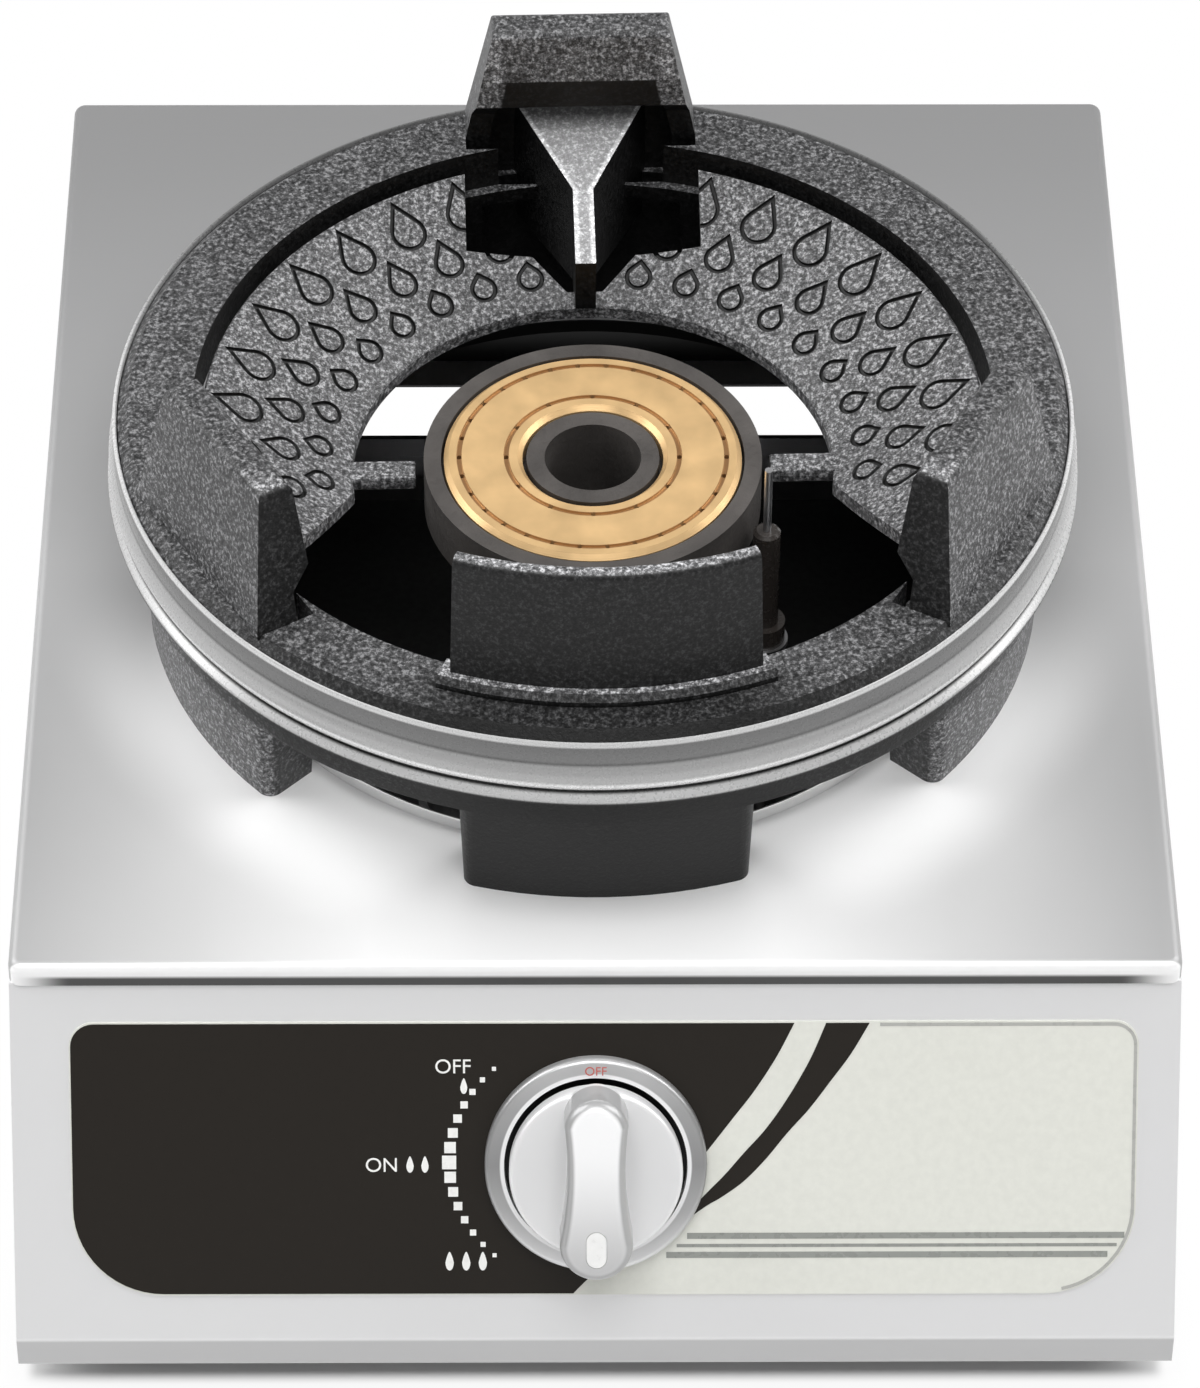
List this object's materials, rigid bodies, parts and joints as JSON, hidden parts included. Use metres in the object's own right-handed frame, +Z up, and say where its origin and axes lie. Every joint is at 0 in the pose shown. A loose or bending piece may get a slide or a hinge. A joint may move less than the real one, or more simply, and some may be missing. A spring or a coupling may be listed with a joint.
{
  "type": "portable gas stove",
  "caption": "Tabletop gas stove: raked steel housing, turn knob, brass-capped ring burner and a clawed cast pot support with a flame bowl.",
  "frame": {"origin": "under the middle of the overall box, on the surface it stands on", "axes": "+Z up, the control panel faces -Y, +X to the user's right"},
  "size_m": [0.28, 0.4048, 0.1998],
  "materials": {
    "satin_steel": "satin stainless sheet",
    "printed_inlay": "dark and cream printed inlay",
    "silver_plastic": "silver lacquered plastic",
    "white_plastic": "white plastic",
    "speckled_enamel": "granite-speckled grey enamel",
    "polished_steel": "polished stainless",
    "burner_iron": "bare dark casting",
    "cap_brass": "machined brass",
    "dark_ceramic": "dark glazed ceramic",
    "plain_steel": "plain steel",
    "black_sheet": "black painted sheet",
    "tap_brass": "plain brass",
    "pipe_steel": "plated steel tube",
    "tube_iron": "bare grey casting",
    "igniter_plastic": "black plastic",
    "lead_rubber": "red silicone sleeve",
    "foot_rubber": "black rubber"
  },
  "bodies": {
    "housing": {"top_panel": "satin_steel", "housing_shell": "satin_steel", "front_panel": "satin_steel", "control_fascia": "printed_inlay", "knob_bezel": "silver_plastic", "burner_body": "burner_iron", "electrode_insulator": "dark_ceramic", "electrode_pin": "plain_steel", "electrode_plate": "plain_steel", "bottom_plate": "black_sheet", "rear_crossbar": "plain_steel", "burner_bracket": "plain_steel", "valve_bracket": "plain_steel", "housing_screws": "plain_steel", "bracket_screws": "plain_steel", "tap_screws": "plain_steel", "burner_bolts": "plain_steel", "valve_body": "tap_brass", "outer_jet": "tap_brass", "inner_jet": "tap_brass", "inlet_nipple": "tap_brass", "inlet_nut": "tap_brass", "gas_inlet_pipe": "pipe_steel", "mixing_tubes": "tube_iron", "piezo_igniter": "igniter_plastic", "ignition_lead": "lead_rubber", "rubber_feet": "foot_rubber"},
    "pot_support": {"pot_support": "speckled_enamel", "flame_bowl": "speckled_enamel", "trim_ring": "polished_steel"},
    "burner_cap": {"burner_cap": "cap_brass"},
    "valve_plug": {"valve_plug": "tap_brass", "valve_spring": "plain_steel"},
    "knob": {"knob": "silver_plastic", "knob_pointer": "white_plastic", "valve_stem": "tap_brass"},
    "outer_air_shutter": {"outer_air_shutter": "plain_steel"},
    "inner_air_shutter": {"inner_air_shutter": "plain_steel"}
  },
  "joints": [
    {"name": "pot_support_lift", "type": "slide", "parent": "housing", "child": "pot_support", "axis": [0, 0, 1], "range_m": [0, 0.12]},
    {"name": "burner_cap_lift", "type": "slide", "parent": "housing", "child": "burner_cap", "axis": [0, 0, 1], "range_m": [0, 0.06]},
    {"name": "knob_turn", "type": "hinge", "parent": "housing", "child": "valve_plug", "pos_m": [0, -0.17002, 0.05833], "axis": [0, -0.852, 0.5235], "range_deg": [0, 145]},
    {"name": "knob_push", "type": "slide", "parent": "valve_plug", "child": "knob", "axis": [0, 0.852, -0.5235], "range_m": [0, 0.004], "stiffness_N_per_m": 800, "springref_m": -0.004, "deforming": ["valve_spring"]},
    {"name": "outer_air_shutter_turn", "type": "hinge", "parent": "housing", "child": "outer_air_shutter", "pos_m": [0.016, -0.10856, 0.04158], "axis": [0, 1, 0], "range_deg": [-25, 25]},
    {"name": "inner_air_shutter_turn", "type": "hinge", "parent": "housing", "child": "inner_air_shutter", "pos_m": [-0.016, -0.10856, 0.04158], "axis": [0, 1, 0], "range_deg": [-25, 25]}
  ]
}
